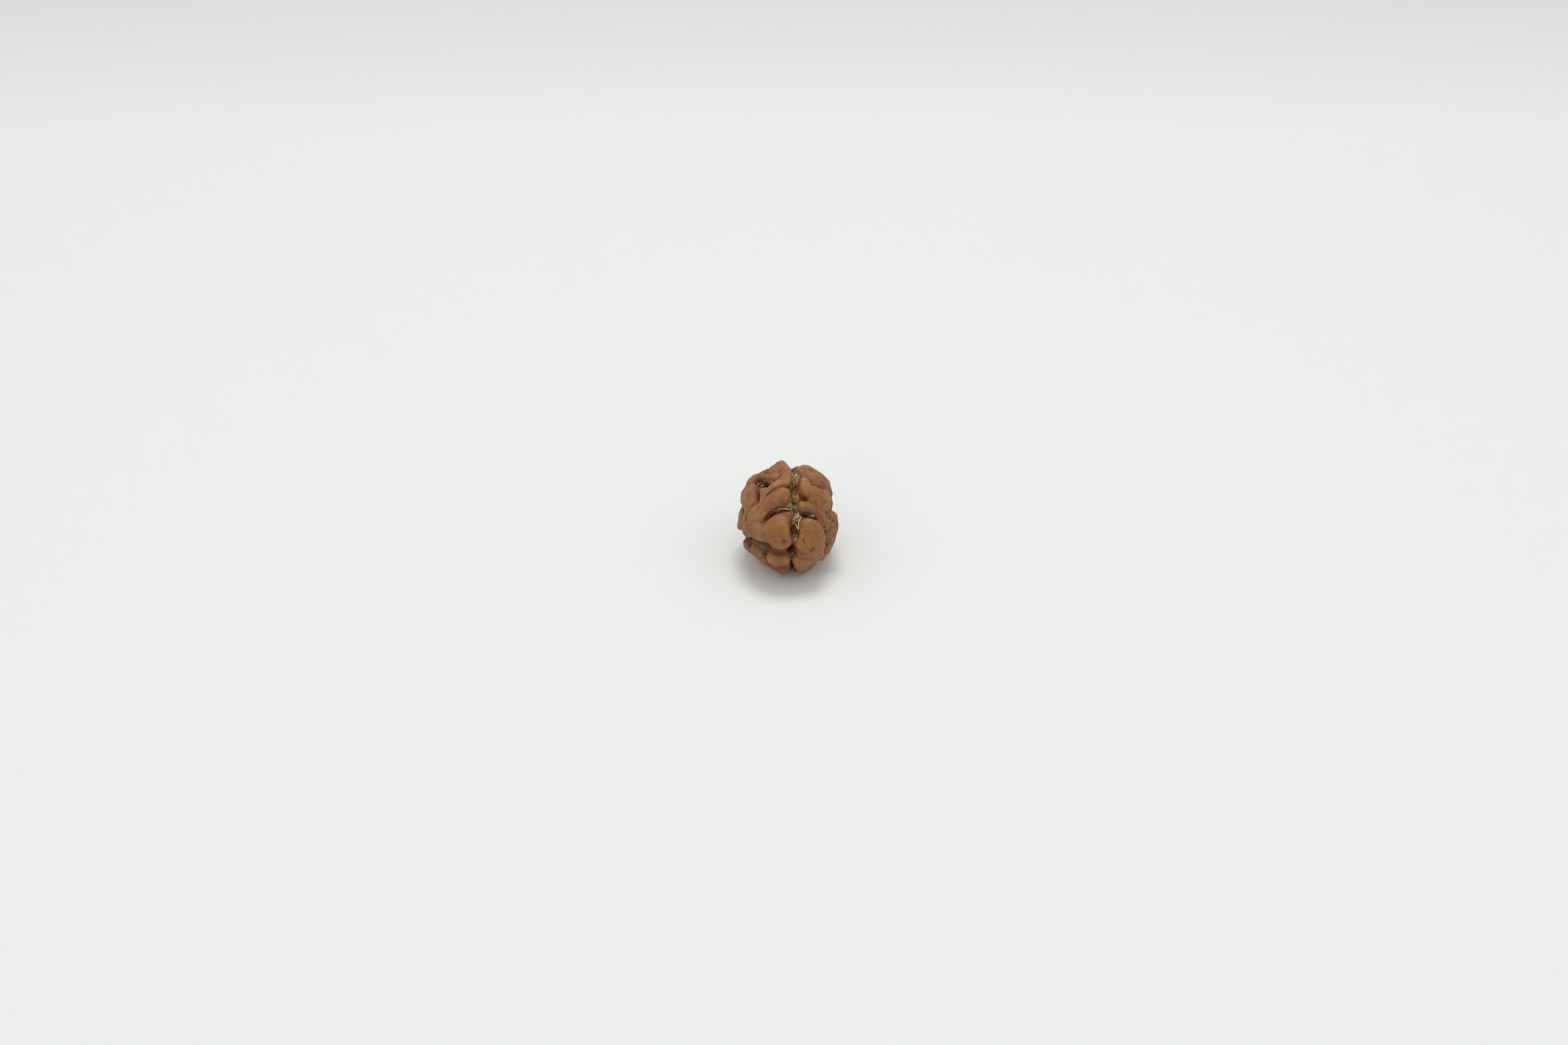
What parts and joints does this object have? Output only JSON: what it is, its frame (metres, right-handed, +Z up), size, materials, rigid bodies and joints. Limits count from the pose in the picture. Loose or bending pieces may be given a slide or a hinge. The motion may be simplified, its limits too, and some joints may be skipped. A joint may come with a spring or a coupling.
{
  "type": "rudraksha seed",
  "caption": "Whole dried rudraksha seed, a near-round woody stone of bold rounded ridges and deep seams that run from pole to pole, with a dark pit at each pole.",
  "frame": {"origin": "on the ground plane that the seed rests on, under the middle of its box", "axes": "+Z up. The axis from pole to pole lies along Y, level: the pole with the open pit looks along -Y. +X is to the right as seen from that pole."},
  "size_m": [0.0208, 0.0244, 0.0217],
  "materials": {
    "shell": "satin, dried and slightly waxy"
  },
  "bodies": {
    "root": {"seed": "shell"}
  },
  "joints": []
}
